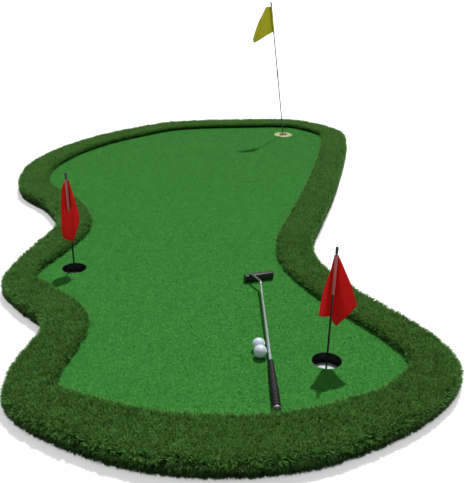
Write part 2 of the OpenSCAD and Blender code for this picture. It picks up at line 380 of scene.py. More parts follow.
def blade_material(name, deep, middle, tip, roughness, tones, through):
    """Grass blades: across the map runs a blade's tone, up it runs its height. Some light comes through."""
    made, tree, body = new_material(name, Roughness=roughness)
    body.inputs["Specular IOR Level"].default_value = 0.12
    place = put(tree, "ShaderNodeUVMap", uv_map="OFBake").outputs["UV"]
    parts = put(tree, "ShaderNodeSeparateXYZ", {"Vector": place})
    height = ramp(tree, parts.outputs["Y"], [(0.0, deep), (0.5, middle), (1.0, tip)])
    tone = ramp(tree, parts.outputs["X"], [(at, (red, green, blue, 1)) for at, red, green, blue in tones])
    mixed = put(tree, "ShaderNodeMix", data_type="RGBA", blend_type="MULTIPLY")
    mixed.inputs["Factor"].default_value = 1.0
    tree.links.new(height, mixed.inputs["A"])
    tree.links.new(tone, mixed.inputs["B"])
    tree.links.new(mixed.outputs["Result"], body.inputs["Base Color"])
    glow = put(tree, "ShaderNodeBsdfTranslucent", {"Color": mixed.outputs["Result"]})
    blend = put(tree, "ShaderNodeMixShader", {"Fac": through})
    tree.links.new(body.outputs["BSDF"], blend.inputs[1])
    tree.links.new(glow.outputs["BSDF"], blend.inputs[2])
    tree.links.new(blend.outputs["Shader"], tree.nodes["Material Output"].inputs["Surface"])
    return made


def woven(name, shade, threads, hem=0.035):
    """Thin woven cloth on the piece's own map: threads, a doubled hem and its row of stitches."""
    made, tree, body = new_material(name, Roughness=0.8, Specular_IOR_Level=0.2)
    place = put(tree, "ShaderNodeUVMap", uv_map="Weave").outputs["UV"]
    parts = put(tree, "ShaderNodeSeparateXYZ", {"Vector": place})

    def wave(socket, count):
        turned_by = put(tree, "ShaderNodeMath", {0: socket, 1: count * math.tau}, operation="MULTIPLY")
        return put(tree, "ShaderNodeMath", {0: turned_by.outputs[0]}, operation="SINE").outputs[0]

    warp = wave(parts.outputs["X"], threads)
    weft = wave(parts.outputs["Y"], threads)
    cross = put(tree, "ShaderNodeMath", {0: warp, 1: weft}, operation="MULTIPLY").outputs[0]
    soft = noise(tree, place, 7.0, 5.0, 0.6)

    def from_edge(socket):
        off = put(tree, "ShaderNodeMath", {0: socket, 1: 0.5}, operation="SUBTRACT").outputs[0]
        away = put(tree, "ShaderNodeMath", {0: off}, operation="ABSOLUTE").outputs[0]
        return put(tree, "ShaderNodeMath", {0: 0.5, 1: away}, operation="SUBTRACT").outputs[0]

    edge = put(tree, "ShaderNodeMath", {0: from_edge(parts.outputs["X"]), 1: from_edge(parts.outputs["Y"])},
               operation="MINIMUM").outputs[0]
    doubled = put(tree, "ShaderNodeMath", {0: edge, 1: hem}, operation="LESS_THAN").outputs[0]
    row = put(tree, "ShaderNodeMath", {0: edge, 1: hem * 0.8, 2: 0.006}, operation="COMPARE").outputs[0]
    dashes = put(tree, "ShaderNodeMath", {0: wave(parts.outputs["X"], 42), 1: wave(parts.outputs["Y"], 42)},
                 operation="MAXIMUM").outputs[0]
    dash = put(tree, "ShaderNodeMath", {0: dashes, 1: 0.2}, operation="GREATER_THAN").outputs[0]
    stitch = put(tree, "ShaderNodeMath", {0: row, 1: dash}, operation="MULTIPLY").outputs[0]
    tone = ramp(tree, soft, [(0.3, shaded(shade, 0.88)), (0.7, shaded(shade, 1.08))])
    hemmed = put(tree, "ShaderNodeMix", {"A": tone, "B": shaded(shade, 0.80)}, data_type="RGBA")
    tree.links.new(put(tree, "ShaderNodeMath", {0: doubled, 1: 0.6}, operation="MULTIPLY").outputs[0],
                   hemmed.inputs["Factor"])
    sewn = put(tree, "ShaderNodeMix", {"Factor": stitch, "B": shaded(shade, 0.55)}, data_type="RGBA")
    tree.links.new(hemmed.outputs["Result"], sewn.inputs["A"])
    tree.links.new(sewn.outputs["Result"], body.inputs["Base Color"])
    height = put(tree, "ShaderNodeMath", {0: stitch, 1: -1.5, 2: cross}, operation="MULTIPLY_ADD").outputs[0]
    bump = put(tree, "ShaderNodeBump", {"Strength": 0.45, "Distance": 0.08 * MM, "Height": height})
    tree.links.new(bump.outputs["Normal"], body.inputs["Normal"])
    return made


# ---- Grass -------------------------------------------------------------------------

def triangles_of(node):
    """Corners of a node's triangles, as an array of (triangle, corner, axis)."""
    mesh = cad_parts[node].data
    mesh.calc_loop_triangles()
    points = np.zeros(len(mesh.vertices) * 3)
    mesh.vertices.foreach_get("co", points)
    corners = np.zeros(len(mesh.loop_triangles) * 3, np.int32)
    mesh.loop_triangles.foreach_get("vertices", corners)
    return points.reshape(-1, 3)[corners.reshape(-1, 3)]


def top_of(node):
    """Triangles of a node's flat top."""
    found = triangles_of(node)
    return found[(found[:, :, 2] > high(node)[2] - 0.1 * MM).all(axis=1)]


def scatter(node, count, rng):
    """Places spread evenly over a node's flat top."""
    a, b, c = np.moveaxis(top_of(node)[:, :, :2], 1, 0)
    side, other = b - a, c - a
    area = np.abs(side[:, 0] * other[:, 1] - side[:, 1] * other[:, 0])
    pick = rng.choice(len(area), count, p=area / area.sum())
    s, t = rng.random((2, count, 1))
    fold = s + t > 1
    s, t = np.where(fold, 1 - s, s), np.where(fold, 1 - t, t)
    return a[pick] + s * side[pick] + t * other[pick]


def top_area(node):
    a, b, c = np.moveaxis(top_of(node)[:, :, :2], 1, 0)
    side, other = b - a, c - a
    return float(np.abs(side[:, 0] * other[:, 1] - side[:, 1] * other[:, 0]).sum() / 2)


def walls_of(node):
    """Upper edges of a node's side walls, as (start, end, outward direction)."""
    found = triangles_of(node)
    lifted = found[:, :, 2] > high(node)[2] - 0.1 * MM
    two_up = lifted.sum(axis=1) == 2
    walls = []
    for wall, flags in zip(found[two_up], lifted[two_up]):
        start, end = wall[flags][:, :2]
        out = np.cross(wall[1] - wall[0], wall[2] - wall[0])[:2]
        walls.append((start, end, out / np.linalg.norm(out)))
    return walls


class Rim:
    """An edge of the turf, to measure how far a place is from it and in which direction."""

    def __init__(self, walls, step=4 * MM):
        self.walls = walls
        lines = []
        for start, end, _ in walls:
            share = np.linspace(0, 1, max(2, int(np.linalg.norm(end - start) / step) + 1))[:, None]
            lines.append(start + share * (end - start))
        self.points = np.concatenate(lines)
        self.tree = KDTree(len(self.points))
        for i, (x, y) in enumerate(self.points):
            self.tree.insert((x, y, 0), i)
        self.tree.balance()

    def reach(self, places):
        """Distance to the edge and the unit direction from the edge to each place."""
        nearest = np.array([self.tree.find((x, y, 0))[1] for x, y in places])
        away = places - self.points[nearest]
        distance = np.linalg.norm(away, axis=1)
        return distance, away / np.maximum(distance, 1e-6)[:, None]

    def scatter(self, count, rng):
        """Places spread evenly along the edge, with its outward directions."""
        starts, ends, outs = (np.array(part) for part in zip(*self.walls))
        length = np.linalg.norm(ends - starts, axis=1)
        pick = rng.choice(len(length), count, p=length / length.sum())
        share = rng.random((count, 1))
        return starts[pick] + share * (ends - starts)[pick], outs[pick]


def inner_rim():
    """The edge between the putting turf and the border, without the cup holes."""
    holes = [np.array(centre(cup)[:2]) for cup in CUPS]
    return Rim([wall for wall in walls_of("putting_turf")
                if min(np.linalg.norm(wall[0] - hole) for hole in holes) > 60 * MM])


def outer_rim(inner):
    """The outer edge of the border."""
    walls = [wall for node in ROUGHS for wall in walls_of(node)]
    ends = np.array([part for wall in walls for part in wall[:2]])
    far = inner.reach(ends)[0].reshape(-1, 2).min(axis=1) > 60 * MM
    return Rim([wall for wall, keep in zip(walls, far) if keep])


def patches(places, cell, rng):
    """Smooth random values from -1 to 1 that change over about one cell."""
    spot = (places - np.array(CAD_LOW[:2]) + 0.1) / cell
    shape = np.ceil((np.array(CAD_HIGH[:2]) - np.array(CAD_LOW[:2]) + 0.3) / cell).astype(int) + 2
    values = rng.uniform(-1, 1, tuple(shape))
    base = np.floor(spot).astype(int)
    part = spot - base
    part = part * part * (3 - 2 * part)
    x, y = base[:, 0], base[:, 1]
    near = values[x, y] * (1 - part[:, 0]) + values[x + 1, y] * part[:, 0]
    far = values[x, y + 1] * (1 - part[:, 0]) + values[x + 1, y + 1] * part[:, 0]
    return near * (1 - part[:, 1]) + far * part[:, 1]


def blades_mesh(name, rows, faces, tone, heights):
    """Joins blades into one mesh. rows holds each row of points, and faces join them blade by blade."""
    count = len(tone)
    points = np.stack(rows, axis=1).reshape(-1, 3)
    per_blade = len(rows)
    pattern = np.array(faces)
    corners = (np.arange(count)[:, None, None] * per_blade + pattern[None]).reshape(-1)
    mesh = bpy.data.meshes.new(name)
    mesh.vertices.add(len(points))
    mesh.vertices.foreach_set("co", points.reshape(-1))
    mesh.loops.add(len(corners))
    mesh.loops.foreach_set("vertex_index", corners)
    mesh.polygons.add(len(corners) // 3)
    mesh.polygons.foreach_set("loop_start", np.arange(0, len(corners), 3))
    mesh.update(calc_edges=True)
    place = np.zeros((count, per_blade, 2))
    sides = np.array([side for side, _ in heights])
    place[:, :, 0] = np.clip(tone, 0.03, 0.97)[:, None] + 0.012 * sides
    place[:, :, 1] = np.array([height for _, height in heights])
    layer = mesh.uv_layers.new(name="OFBake")
    layer.data.foreach_set("uv", place.reshape(-1, 2)[corners].reshape(-1))
    mesh.validate()
    made = bpy.data.objects.new(name, mesh)
    bpy.context.scene.collection.objects.link(made)
    return made


def unit(ways):
    """Directions of length one."""
    return ways / np.linalg.norm(ways, axis=1)[:, None]


def tufts(name, roots, ways, lengths, shade, values, rng, per_tuft=6, fan=0.42, droop=0.18):
    """Tufts of bent blades: ways holds each tuft's main direction, and droop bends the tips down."""
    owner = np.repeat(np.arange(len(roots)), per_tuft)
    count = len(owner)
    spread_out = rng.normal(size=(count, 3)) * np.array([1, 1, 0.5])
    low_way = unit(ways[owner] + fan * spread_out)
    sag = np.array([0, 0, -1]) * (droop * rng.uniform(0, 2, count))[:, None]
    high_way = unit(low_way + 0.30 * spread_out + 0.24 * rng.normal(size=(count, 3)) + sag)
    length = lengths[owner] * rng.uniform(0.68, 1.12, count)
    foot = roots[owner] + rng.normal(0, 1.1 * MM, (count, 3)) * np.array([1, 1, 0.4])
    middle = foot + low_way * (0.58 * length)[:, None]
    tip = middle + high_way * (0.42 * length)[:, None]
    turn = rng.uniform(0, math.tau, count)
    across = np.stack([np.cos(turn), np.sin(turn), 0.4 * np.cos(2 * turn)], axis=1)
    across = unit(across - low_way * np.sum(across * low_way, axis=1)[:, None])
    across *= (values.width * rng.uniform(0.34, 0.6, count))[:, None]
    rows = [foot - across, foot + across, middle - across * 0.9, middle + across * 0.9, tip]
    for row in rows:
        row[:, 2] = np.maximum(row[:, 2], 1.5 * MM)
    pale = rng.random(count) < 0.12
    tone = shade[owner] + rng.normal(0, 0.13, count) + 0.30 * pale * shade[owner]
    return blades_mesh(name, rows, [(0, 1, 3), (0, 3, 2), (2, 3, 4)], tone,
                       [(-1, 0.03), (1, 0.03), (-1, 0.5), (1, 0.5), (0, 0.97)])


def upright(sideways, angle):
    """Directions that lean by an angle from upright towards a flat direction."""
    return np.concatenate([sideways * np.sin(angle)[:, None], np.cos(angle)[:, None]], axis=1)


EDGE_LEAN = math.radians(52)


def top_tufts(name, places, thatch_top, edges, values, rng, painted_edge_shade):
    """Upright tufts on top of the border, which lean over at both of its edges."""
    inner, outer, overhang = edges
    to_inner, from_inner = inner.reach(places)
    to_outer, from_outer = outer.reach(places)
    beyond = np.maximum(to_outer - overhang, 0)
    over_outer = np.exp(-((beyond / (17 * MM)) ** 2))
    over_inner = 0.6 * np.exp(-((to_inner / (12 * MM)) ** 2))
    drift = 0.13 * rng.normal(size=(len(places), 2))
    ways = upright(-from_outer, EDGE_LEAN * over_outer) + upright(-from_inner, EDGE_LEAN * over_inner)
    ways[:, :2] += 2 * drift
    tall = (1 + 0.09 * patches(places, 22 * MM, rng) + 0.06 * rng.normal(size=len(places)))
    shade = 0.60 + 0.10 * rng.normal(size=len(places)) + 0.05 * patches(places, 150 * MM, rng)
    # Painted shade: tufts that lean over the outer edge are painted darker.
    shade -= painted_edge_shade * over_outer
    roots = np.concatenate([places, np.full((len(places), 1), thatch_top - 1.5 * MM)], axis=1)
    return tufts(name, roots, unit(ways), values.blade_length * tall, shade, values, rng)


def side_tufts(name, places, out, heights, values, rng, painted_edge_shade):
    """Tufts on the outer side of the border: they stand out below its top, hang at its foot, and are painted
    darker towards the foot as shade.
    """
    lowest, highest = heights
    down = rng.random(len(places)) ** 0.85
    roots = np.concatenate([places, (highest - down * (highest - lowest))[:, None]], axis=1)
    angle = EDGE_LEAN + (math.radians(128) - EDGE_LEAN) * down ** 0.8
    ways = upright(out, angle)
    ways[:, :2] += 0.16 * rng.normal(size=(len(places), 2))
    # Painted shade: the whole side is painted darker, and much darker towards its foot.
    shade = 0.60 - painted_edge_shade - 0.70 * down ** 0.6 + 0.10 * rng.normal(size=len(places)) * (1 - down)
    lengths = values.blade_length * (1.0 - 0.34 * down)
    return tufts(name, roots, unit(ways), lengths, shade, values, rng)


# Painted shade: the putting turf's tone is painted lower towards the near side and higher towards the far
# side, changing about y = -0.9 m over about 0.7 m.
PAINTED_SHADE_NEAR = 0.9
PAINTED_SHADE_SPREAD = 0.7


def turf_blades(name, roots, values, rng):
    """Short flattened blades of the putting turf, one triangle each."""
    count = len(roots)
    heading = rng.uniform(0, math.tau, count)
    sideways = np.stack([np.cos(heading), np.sin(heading)], axis=1)
    way = upright(sideways, np.radians(rng.uniform(48, 76, count)))
    grain = 0.5 * patches(roots, 9 * MM, rng) + 0.5 * patches(roots, 30 * MM, rng)
    length = values.pile * (1 + 0.10 * grain) * rng.uniform(0.8, 1.15, count)
    foot = np.concatenate([roots, np.full((count, 1), TURF_TOP - 1.6 * MM)], axis=1)
    tip = foot + way * length[:, None]
    across = np.stack([-np.sin(heading), np.cos(heading), np.zeros(count)], axis=1)
    across *= (values.width * 0.5 * rng.uniform(0.75, 1.25, count))[:, None]
    tone = 0.50 + 0.06 * grain + 0.04 * patches(roots, 140 * MM, rng) + rng.normal(0, 0.06, count)
    # Painted shade: lower tone towards the near side, higher towards the far side.
    tone += 0.11 * np.tanh((roots[:, 1] + PAINTED_SHADE_NEAR) / PAINTED_SHADE_SPREAD)
    return blades_mesh(name, [foot - across, foot + across, tip], [(0, 1, 2)], tone,
                       [(-1, 0.05), (1, 0.05), (0, 0.95)])


def backing(node, name, top, material, slot, draw_in=0.0, inner=None):
    """The layer that the blades stand in: a copy of the node, lowered, with its outer side drawn in."""
    made = copy_of(node, name)
    mesh = made.data
    for vertex in mesh.vertices:
        if vertex.co.z > top:
            vertex.co.z = top
    if inner:
        flat = np.array([vertex.co[:2] for vertex in mesh.vertices])
        distance, away = inner.reach(flat)
        for vertex, far, way in zip(mesh.vertices, distance, away):
            if far > 50 * MM:
                vertex.co.x -= way[0] * draw_in
                vertex.co.y -= way[1] * draw_in
    fit(made, "mat", slot, material)
    return made


# ---- Stage -------------------------------------------------------------------------

CAMERA_PLACE = (0.2235, -3.1398, 1.2396)
FOCAL_WIDTHS = 1.489
LOOK_UP = 0.0966
SUN_WAY = (-0.125, -0.509, -1.0)


class GREEN_OT_stage(bpy.types.Operator):
    """Adds the floor, the lights and the camera"""
    bl_idname = "green.stage"
    bl_label = "Studio"

    def execute(self, context):
        values = context.scene.green_studio
        clear_selection()
        bpy.ops.mesh.primitive_plane_add(size=90.0, location=(0, 20, 0))
        floor = context.object
        floor.name = "studio_floor"
        material, _, body = new_material("studio_floor", Roughness=0.9)
        body.inputs["Base Color"].default_value = values.floor_colour
        body.inputs["Emission Color"].default_value = values.floor_colour
        body.inputs["Emission Strength"].default_value = values.floor_glow
        floor.data.materials.append(material)

        world = bpy.data.worlds.new("studio")
        world.use_nodes = True
        sky = world.node_tree.nodes["Background"]
        sky.inputs["Color"].default_value = (1, 1, 1, 1)
        sky.inputs["Strength"].default_value = values.sky_strength
        context.scene.world = world

        sun = bpy.data.lights.new("key", "SUN")
        sun.energy = values.sun_strength
        sun.angle = math.radians(1.5)
        lamp = bpy.data.objects.new("key", sun)
        lamp.rotation_euler = Vector(SUN_WAY).to_track_quat("-Z", "Y").to_euler()
        context.scene.collection.objects.link(lamp)

        camera = bpy.data.cameras.new("camera")
        camera.sensor_fit = "HORIZONTAL"
        camera.sensor_width = 36
        camera.lens = 36 * FOCAL_WIDTHS
        camera.shift_y = LOOK_UP
        camera.clip_end = 200
        holder = bpy.data.objects.new("camera", camera)
        aim = Matrix.Rotation(math.pi / 2 - values.camera_pitch, 4, "X")
        holder.matrix_world = (Matrix.Translation(CAMERA_PLACE) @ aim
                               @ Matrix.Rotation(values.camera_roll, 4, "Z"))
        context.scene.collection.objects.link(holder)
        context.scene.camera = holder
        context.scene.view_settings.view_transform = "Standard"
        return {"FINISHED"}


class GREEN_OT_boards(bpy.types.Operator):
    """Gives the base boards their foam"""
    bl_idname = "green.boards"
    bl_label = "Base boards"

    def execute(self, context):
        foam = moulded("eva_foam", linear(34, 37, 40), 0.78, grain=700.0, depth=0.25 * MM, vary=0.2)
        for node in ("base_near", "base_waist", "base_middle", "base_far"):
            paint(node, foam)
        return {"FINISHED"}


class GREEN_OT_turf(bpy.types.Operator):
    """Adds the short putting turf"""
    bl_idname = "green.turf"
    bl_label = "Putting turf"

    def execute(self, context):
        values = context.scene.green_turf
        rng = np.random.default_rng(11)
        under = moulded("turf_backing", values.dark, 0.9, grain=420.0, depth=0.3 * MM, vary=0.06,
                        Specular_IOR_Level=0.1)
        base = backing("putting_turf", "putting_turf_backing", TURF_TOP - 1.4 * MM, under, "short_turf")
        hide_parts("putting_turf")
        tones = [(0.0, 0.50, 0.56, 0.52), (0.5, 0.92, 0.93, 0.92), (1.0, 1.20, 1.12, 1.12)]
        pile = blade_material("turf_blades", values.dark, values.dark, values.light, 0.7, tones, 0.15)
        roots = scatter("putting_turf", values.blades, rng)
        for i, share in enumerate(in_parts(roots, 1)):
            piece = turf_blades(f"putting_turf_blades_{i + 1}", share, values, rng)
            fit(piece, "mat", "short_turf", pile)
        return {"FINISHED"}


class GREEN_OT_rough(bpy.types.Operator):
    """Adds the tall rough turf of the border"""
    bl_idname = "green.rough"
    bl_label = "Rough border"

    def execute(self, context):
        values = context.scene.green_rough
        rng = np.random.default_rng(23)
        inner = inner_rim()
        outer = outer_rim(inner)
        # The near-black root colour of the thatch and of the blades' roots is partly painted shade between
        # the blades.
        thatch = moulded("rough_thatch", values.root, 0.95, grain=260.0, depth=2 * MM, vary=0.4,
                         Specular_IOR_Level=0.1)
        # Low tones run to near black: they carry the painted shade low on the outer side and on the inner
        # side.
        tones = [(0.0, 0.06, 0.08, 0.08), (0.25, 0.42, 0.46, 0.44), (0.55, 0.86, 0.88, 0.84),
                 (0.75, 1, 1, 1), (1.0, 1.35, 1.22, 1.05)]
        grass = blade_material("rough_blades", values.root, values.blade, values.tip, 0.6, tones, 0.28)
        overhang = low("base_middle")[0] - low("rough_left")[0]
        edges = (inner, outer, overhang)
        thatch_top = BOARD_TOP + 20 * MM
        # Painted shade taken off the tone of the tufts on the outer edge and side.
        painted_edge_shade = 0.08
        per_tuft = 6
        whole = sum(top_area(node) for node in ROUGHS)
        for node in ROUGHS:
            base = backing(node, node + "_backing", thatch_top, thatch, "rough_turf",
                           draw_in=overhang, inner=inner)
            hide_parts(node)
            places = scatter(node, int(values.top_blades / per_tuft * top_area(node) / whole), rng)
            places = places[outer.reach(places)[0] > overhang]
            for i, share in enumerate(in_parts(places, per_tuft * 3)):
                piece = top_tufts(f"{node}_blades_{i + 1}", share, thatch_top, edges, values, rng, painted_edge_shade)
                fit(piece, "mat", "rough_turf", grass)
        places, out = outer.scatter(values.outer_blades // per_tuft, rng)
        order = np.argsort(places[:, 1])
        for i, share in enumerate(np.array_split(order, 2)):
            piece = side_tufts(f"rough_outer_side_blades_{i + 1}", places[share] - out[share] * overhang,
                               out[share], (9 * MM, thatch_top), values, rng, painted_edge_shade)
            fit(piece, "mat", "rough_turf", grass)
        places, out = inner.scatter(values.inner_blades // per_tuft, rng)
        up_the_side = rng.random(len(places))
        roots = np.concatenate([places + out * 1 * MM,
                                (TURF_TOP + up_the_side * (thatch_top - TURF_TOP))[:, None]], axis=1)
        # Painted shade: the inner side's tufts are painted darker the lower they stand.
        piece = tufts("rough_inner_side_blades", roots, upright(-out, 0.5 + 0.3 * up_the_side),
                      np.full(len(roots), 0.7 * values.blade_length), 0.12 + 0.3 * up_the_side, values, rng)
        fit(piece, "mat", "rough_turf", grass)
        return {"FINISHED"}


def in_parts(places, triangles_each):
    """Places in order along the mat, in parts that stay under the limit of triangles."""
    places = places[np.argsort(places[:, 1])]
    return np.array_split(places, math.ceil(len(places) * triangles_each / 198000))


# ---- Cups and flagsticks -----------------------------------------------------------

class GREEN_OT_cups(bpy.types.Operator):
    """Adds the cup liners and finishes the cup floors and the far holder"""
    bl_idname = "green.cups"
    bl_label = "Cups"

    def execute(self, context):
        black = moulded("black_plastic", linear(9, 9, 10), 0.5, Specular_IOR_Level=0.25)
        for side in ("left", "right"):
            node = "cup_liner_" + side
            middle = centre(node)
            radius = (high(node)[0] - low(node)[0]) / 2
            top = high(node)[2]
            wall = 2.5 * MM
            ledge = high("cup_floor_" + side)[2] + 0.3 * MM
            profile = [(0, radius), (top - 3 * MM, radius), (top - 1.2 * MM, radius + 0.1 * MM),
                       (top - 0.3 * MM, radius - 0.3 * MM), (top, radius - 1.0 * MM),
                       (top - 0.2 * MM, radius - wall + 0.4 * MM), (top - 1.2 * MM, radius - wall),
                       (top - 9 * MM, radius - wall), (top - 9.6 * MM, radius - wall - 0.6 * MM),
                       (top - 11 * MM, radius - wall - 0.6 * MM), (top - 11.6 * MM, radius - wall),
                       (ledge + 3 * MM, radius - wall), (ledge + 1.4 * MM, radius - wall - 8 * MM),
                       (ledge, radius - wall - 8.5 * MM), (ledge, radius - wall), (0, radius - wall)]
            liner = turned(node + "_moulding", (middle.x, middle.y, 0), (0, 0, 1), profile,
                           steps=96, closed=True)
            smooth(liner)
            fit(liner, "cup_" + side, "black_plastic", black, node)
            paint("cup_floor_" + side, moulded("white_plastic_" + side, linear(196, 208, 208), 0.45))
        paint("far_disc", moulded("cream_plastic", linear(158, 168, 118), 0.5))
        paint("far_boss", moulded("tan_plastic", linear(130, 124, 76), 0.5))
        return {"FINISHED"}


class GREEN_OT_flagsticks(bpy.types.Operator):
    """Finishes the rods, tips, collars and hoist tubes"""
    bl_idname = "green.flagsticks"
    bl_label = "Flagsticks"

    def execute(self, context):
        tube_sheen_colour = context.scene.green_flags.tube
        black = moulded("black_rod", linear(12, 12, 13), 0.36, grain=500.0, Coat_Weight=0.15,
                        Coat_Roughness=0.25)
        grey = brushed("grey_rod", linear(104, 106, 104), 0.45, (900, 900, 30))
        cap = moulded("cap_plastic", linear(18, 18, 19), 0.5)
        # Painted sheen: the near hoist tubes are coloured pinkish grey for the sheen on a red tube.
        tube = moulded("hoist_tube", tube_sheen_colour, 0.75, grain=2200.0, depth=0.12 * MM)
        far_tube = moulded("far_hoist_tube", context.scene.green_flags.yellow, 0.75, grain=2200.0,
                           depth=0.12 * MM)
        for node in ("pole_left", "pole_right"):
            paint(node, black)
        for node in ("pole_far_lower", "pole_far_upper", "pole_far_joint"):
            paint(node, grey)
        for side in ("left", "right", "far"):
            paint("pole_tip_" + side, cap)
            paint("flag_stop_" + side, cap)
            paint("flag_sleeve_" + side, far_tube if side == "far" else tube)
        return {"FINISHED"}


# ---- Flags -------------------------------------------------------------------------

# Edges of the hanging cloths: [across, behind, height] in millimetres from the foot of the rod,
# from the hoist down the near and far side, and along the bottom hem
DRAPES = {
    "left": {
        "top": [(-6, 6, 402), (8, 6, 402)],
        "one": [(-6, 6, 402), (-20, 2, 373), (-27, -10, 303), (-31, -21, 204)],
        "other": [(8, 6, 402), (24, 2, 340), (39, -5, 277), (38, -7, 238)],
        "hem": [(-31, -21, 204), (-25, -17, 176), (8, -11, 160), (38, -7, 238)],
    },
    "right": {
        "top": [(-5, 7, 403), (7, 7, 403)],
        "one": [(-5, 7, 403), (-13, -1, 358), (-34, -26, 299), (-46, -59, 234)],
        "other": [(7, 7, 403), (28, 2, 360), (49, -10, 318), (72, -20, 252)],
        "hem": [(-46, -59, 234), (-22, -18, 206), (0, 8, 185), (21, 4, 155), (45, -8, 204), (72, -20, 252)],
    },
    "far": {
        "top": [(5, 8, 650), (5, 8, 797)],
        "one": [(5, 8, 650), (-79, 8, 632), (-156, 8, 612)],
        "other": [(5, 8, 797), (-37, 8, 802), (-105, 8, 729), (-170, 8, 638)],
        "hem": [(-156, 8, 612), (-166, 8, 622), (-170, 8, 638)],
    },
}
TALL_LEAN = math.radians(8)
TALL_TURN = math.radians(40)
ACROSS = 44
DOWN = 60


def along(points, share):
    """Point at a share of a line through the given points."""
    points = np.array(points, float)
    steps = np.linalg.norm(np.diff(points, axis=0), axis=1)
    at = np.concatenate([[0], np.cumsum(steps)]) / steps.sum()
    return np.array([np.interp(share, at, part) for part in points.T])


def soft_along(points, share):
    """Point on a rounded version of the same line."""
    if share < 0.04 or share > 0.96:
        return along(points, share)
    return np.mean([along(points, share + step) for step in (-0.03, -0.015, 0, 0.015, 0.03)], axis=0)


def drape(edges, fold):
    """A grid of points inside four edges, with fold(u, v) millimetres added to the depth."""
    points = []
    corner = [np.array(edges[edge][end], float) for end in (0, -1) for edge in ("one", "other")]
    for j in range(DOWN + 1):
        v = j / DOWN
        one, other = soft_along(edges["one"], v), soft_along(edges["other"], v)
        for i in range(ACROSS + 1):
            u = i / ACROSS
            top, hem = along(edges["top"], u), soft_along(edges["hem"], u)
            place = ((1 - v) * top + v * hem + (1 - u) * one + u * other
                     - (1 - u) * (1 - v) * corner[0] - u * (1 - v) * corner[1]
                     - (1 - u) * v * corner[2] - u * v * corner[3])
            points.append(place + np.array([0, fold(u, v), 0]))
    faces = [(j * (ACROSS + 1) + i, j * (ACROSS + 1) + i + 1,
              (j + 1) * (ACROSS + 1) + i + 1, (j + 1) * (ACROSS + 1) + i)
             for j in range(DOWN) for i in range(ACROSS)]
    return np.array(points) * MM, faces


def left_fold(u, v):
    """The left cloth hangs behind its tube and comes forward under it."""
    x, share = u - 0.45, min(1.0, max(0.0, (v - 0.44) / 0.10))
    forward = share * share * (3 - 2 * share)
    near_rod = math.exp(-(x / 0.22) ** 2)
    wave = (2.6 * v * math.sin(math.tau * (1.4 * u + 0.5 * v))
            + 1.2 * v * math.sin(math.tau * (3.1 * u - 0.8 * v)))
    behind = 7.5 + 5 * v
    return (1 - forward) * behind * near_rod - forward * 3.0 * near_rod + wave * (1 - 0.8 * near_rod)


def right_fold(u, v):
    """The right cloth hangs behind its rod, with a soft bend where its two sides part."""
    x = (u - 0.42) / 0.20
    near_rod = math.exp(-x * x)
    wave = (3.0 * v * math.sin(math.tau * (1.5 * u + 0.4 * v))
            + 1.6 * v * math.sin(math.tau * (3.3 * u - 0.9 * v)))
    return (9 + 8 * v) * near_rod + wave * (1 - 0.8 * near_rod)


def far_fold(u, v):
    """The far cloth flies almost flat, with slanting ripples that grow away from the rod."""
    return (3.2 * v * math.sin(math.tau * (1.2 * v + 0.5 * u))
            + 1.2 * v * math.sin(math.tau * (2.6 * u + 0.9 * v)))


FOLDS = {"left": left_fold, "right": right_fold, "far": far_fold}
# The cloth is left out where it is nearer than this to the axis of its rod
ROD_CLEAR = 5.5 * MM


def flag(side, values, material):
    """One hanging cloth with a doubled hem."""
    points, faces = drape(DRAPES[side], FOLDS[side])
    faces = [face for face in faces if np.linalg.norm(points[list(face)].mean(axis=0)[:2]) > ROD_CLEAR]
    foot = centre("far_disc") if side == "far" else centre("cup_liner_" + side)
    if side == "far":
        turn = Matrix.Rotation(-TALL_LEAN, 3, "Y") @ Matrix.Rotation(TALL_TURN, 3, "Z")
        pivot = Vector((foot.x, foot.y, high("far_disc")[2]))
        points = np.array([turn @ Vector(p) + pivot for p in points])
    else:
        points += np.array([foot.x, foot.y, 0])
    name = "flag_cloth_" + side
    made = new_mesh(name, points, faces)
    layer = made.data.uv_layers.new(name="Weave")
    for polygon in made.data.polygons:
        for loop, vertex in zip(polygon.loop_indices, polygon.vertices):
            row, column = divmod(vertex, ACROSS + 1)
            layer.data[loop].uv = (column / ACROSS, row / DOWN)
    # The area of the cloth's flat cut is not known.
    only(made)
    skin = made.modifiers.new("thickness", "SOLIDIFY")
    skin.thickness = values.cloth
    skin.offset = 0
    bpy.ops.object.modifier_apply(modifier=skin.name)
    smooth(made, 60)
    fit(made, "pennant_" + side, "yellow_cloth" if side == "far" else "red_cloth", material, "flag_" + side)
    return made


class GREEN_OT_flags(bpy.types.Operator):
    """Hangs the three flags"""
    bl_idname = "green.flags"
    bl_label = "Flags"

    def execute(self, context):
        values = context.scene.green_flags
        red = woven("red_cloth", values.red, 120)
        yellow = woven("yellow_cloth", values.yellow, 120)
        for side in ("left", "right"):
            flag(side, values, red)
        flag("far", values, yellow)
        return {"FINISHED"}


# ---- Putter ------------------------------------------------------------------------

def putter_axis():
    """A point on the putter's shaft and the direction from the head to the butt."""
    butt, mid = centre("putter_ring"), centre("putter_shaft")
    return butt, (butt - mid).normalized()


def span(node, start, direction):
    """Nearest and furthest place of a node along an axis, and its greatest radius there."""
    points = triangles_of(node).reshape(-1, 3) - np.array(start)
    place = points @ np.array(direction)
    radius = np.linalg.norm(points - place[:, None] * np.array(direction), axis=1)
    return float(place.min()), float(place.max()), float(radius.max())


NECK_RADIUS = 4.6 * MM


